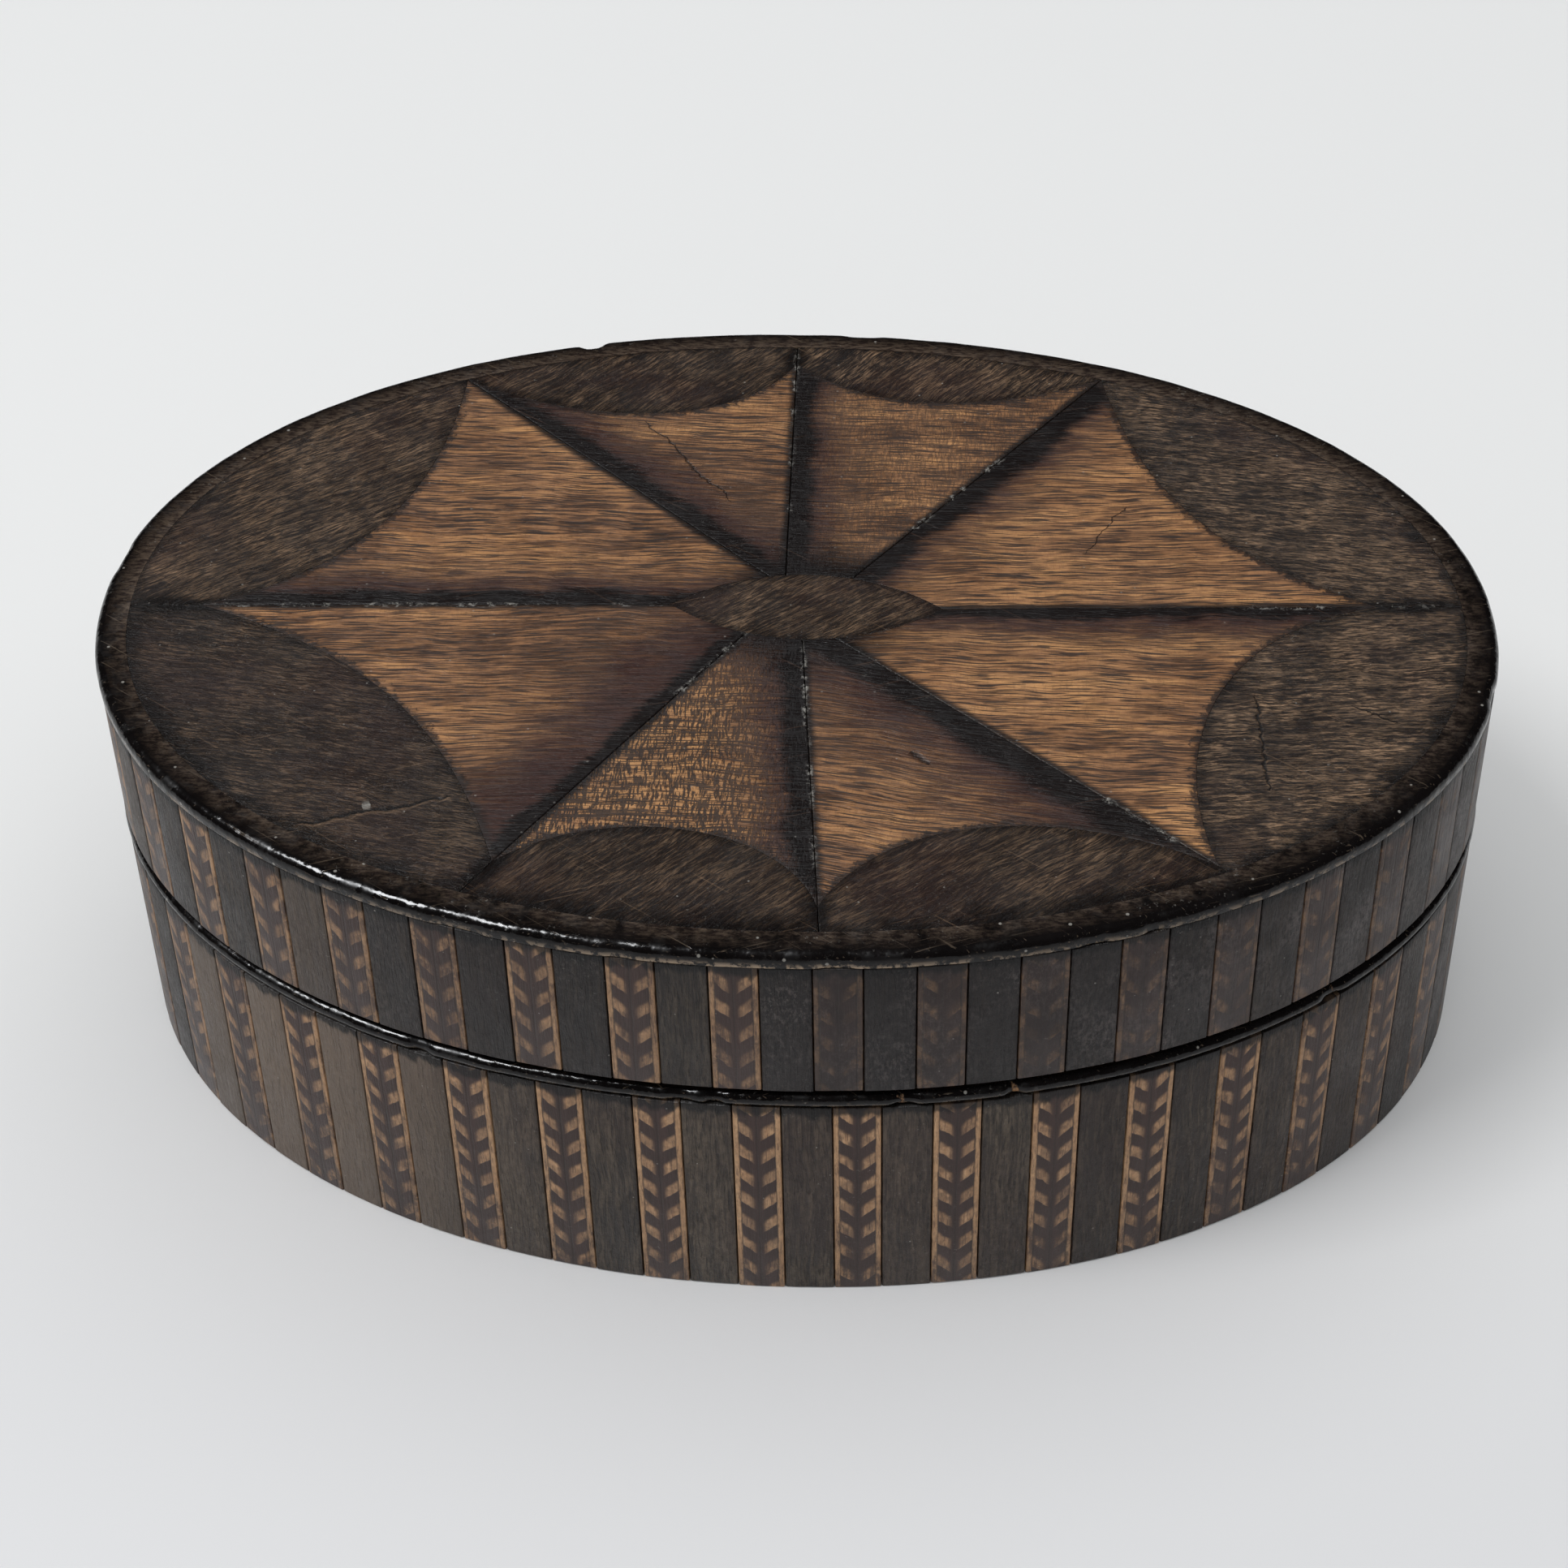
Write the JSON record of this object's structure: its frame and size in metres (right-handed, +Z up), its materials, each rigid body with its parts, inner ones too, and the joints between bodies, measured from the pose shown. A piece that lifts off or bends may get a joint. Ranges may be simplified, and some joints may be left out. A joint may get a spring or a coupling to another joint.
{
  "type": "treen box",
  "caption": "Low oval wooden table box with a lift-off lid: fan-inlaid top, dark edging and walls clad in upright striped feather veneer.",
  "frame": {"origin": "middle of the underside, on the surface that the box stands on", "axes": "+X along the long axis to the viewer's right, -Y towards the front, +Z up along the lid's lift"},
  "size_m": [0.1002, 0.0702, 0.033],
  "materials": {
    "plain_wood": "worn, hand-finished",
    "lining_wood": "smooth, waxed",
    "striped_wood": "old polish, satin",
    "edging_wood": "old polish, glossy, worn",
    "fan_wood": "old polish, satin, sand-shaded edges",
    "lens_wood": "old polish, satin",
    "centre_wood": "old polish, satin"
  },
  "bodies": {
    "base": {"base_floor": "plain_wood", "base_wall": "plain_wood", "base_lining": "lining_wood", "base_edging": "edging_wood", "base_striped_veneer": "striped_wood"},
    "lid": {"lid_wall": "plain_wood", "lid_board": "plain_wood", "lid_edging": "edging_wood", "lid_striped_veneer": "striped_wood", "centre_oval": "centre_wood", "fan_right_back": "fan_wood", "fan_back_right": "fan_wood", "fan_back_left": "fan_wood", "fan_left_back": "fan_wood", "fan_left_front": "fan_wood", "fan_front_left": "fan_wood", "fan_front_right": "fan_wood", "fan_right_front": "fan_wood", "rim_lens_right_back": "lens_wood", "rim_lens_back_right": "lens_wood", "rim_lens_back_left": "lens_wood", "rim_lens_left_back": "lens_wood", "rim_lens_left_front": "lens_wood", "rim_lens_front_left": "lens_wood", "rim_lens_front_right": "lens_wood", "rim_lens_right_front": "lens_wood"}
  },
  "joints": [
    {"name": "lid_lift", "type": "slide", "parent": "base", "child": "lid", "axis": [0, 0, 1], "range_m": [0, 0.05]}
  ]
}
